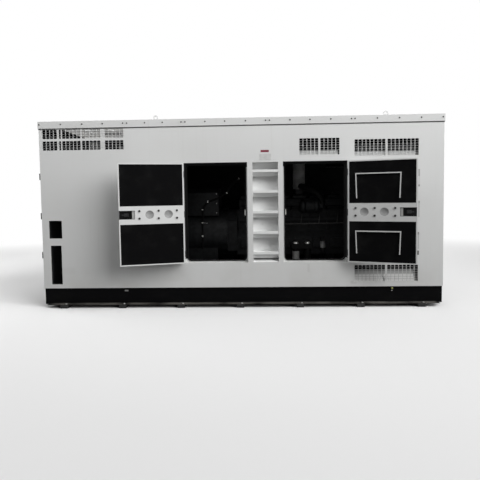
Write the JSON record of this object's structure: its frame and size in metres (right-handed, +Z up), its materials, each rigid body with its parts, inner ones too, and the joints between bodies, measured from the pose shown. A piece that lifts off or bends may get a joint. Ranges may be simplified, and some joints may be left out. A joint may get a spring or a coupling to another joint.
{
  "type": "sound-proofed diesel generator set",
  "caption": "Long sheet-steel canopy on a black base frame, with two open service doors, punched air grilles, a step recess and a diesel engine with alternator inside.",
  "frame": {"origin": "centre of the underside of the middle bearer, on the ground", "axes": "+X along the canopy towards the radiator end, +Y from the door side to the back, +Z up"},
  "size_m": [5.29, 2.3559, 2.552],
  "materials": {
    "canopy_white": "powder-coated steel sheet",
    "roof_white": "powder-coated steel sheet",
    "base_black": "black paint on folded plate",
    "bearer_steel": "dusty dark paint",
    "engine_iron": "painted casting",
    "machine_grey": "dark machine paint",
    "filter_grey": "painted canister",
    "core_aluminium": "finned core",
    "foam_black": "acoustic foam",
    "seal_rubber": "extruded seal",
    "hinge_black": "black hinges",
    "lock_black": "latch body",
    "zinc_steel": "zinc plated",
    "earth_brass": "terminal stud"
  },
  "bodies": {
    "canopy": {"air_filter": "filter_grey", "alternator": "machine_grey", "back_doors": "canopy_white", "back_grilles": "canopy_white", "back_wall": "canopy_white", "base_channel_back": "base_black", "base_channel_front": "base_black", "base_deck": "base_black", "base_end_channels": "base_black", "cooling_fan": "machine_grey", "cross_bearers": "bearer_steel", "cylinder_heads": "machine_grey", "door_frame_left": "canopy_white", "door_frame_right": "canopy_white", "door_seals": "seal_rubber", "earth_terminal": "earth_brass", "engine_block": "engine_iron", "engine_mounts": "base_black", "engine_rails": "base_black", "exhaust_manifold": "engine_iron", "flywheel_housing": "engine_iron", "front_wall_header": "canopy_white", "front_wall_left": "canopy_white", "front_wall_right": "canopy_white", "front_wall_sill": "canopy_white", "fuel_tank": "base_black", "grille_lower_right": "canopy_white", "grille_upper_left": "canopy_white", "grille_upper_middle": "canopy_white", "grille_upper_right": "canopy_white", "hinge_brackets": "hinge_black", "latch_keepers": "zinc_steel", "left_end_door": "canopy_white", "left_end_wall": "canopy_white", "lifting_eyes": "roof_white", "oil_filters": "filter_grey", "radiator": "core_aluminium", "rain_baffles": "canopy_white", "right_end_louvre": "canopy_white", "right_end_wall": "canopy_white", "roof_panels": "roof_white", "step_recess": "canopy_white", "step_treads": "canopy_white"},
    "left_door": {"left_door_foam": "foam_black", "left_door_hinges": "hinge_black", "left_door_lock": "lock_black", "left_door_lock_bar": "canopy_white", "left_door_pan": "canopy_white"},
    "right_door": {"right_door_baffles": "canopy_white", "right_door_foam": "foam_black", "right_door_hinges": "hinge_black", "right_door_lock": "lock_black", "right_door_lock_bar": "canopy_white", "right_door_pan": "canopy_white"}
  },
  "joints": [
    {"name": "left_door_hinge", "type": "hinge", "parent": "canopy", "child": "left_door", "pos_m": [-0.72, -1.014, 1.248], "axis": [0, 0, 1], "range_deg": [0, 165.7]},
    {"name": "right_door_hinge", "type": "hinge", "parent": "canopy", "child": "right_door", "pos_m": [1.405, -1.014, 1.248], "axis": [0, 0, -1], "range_deg": [0, 162.6]}
  ]
}
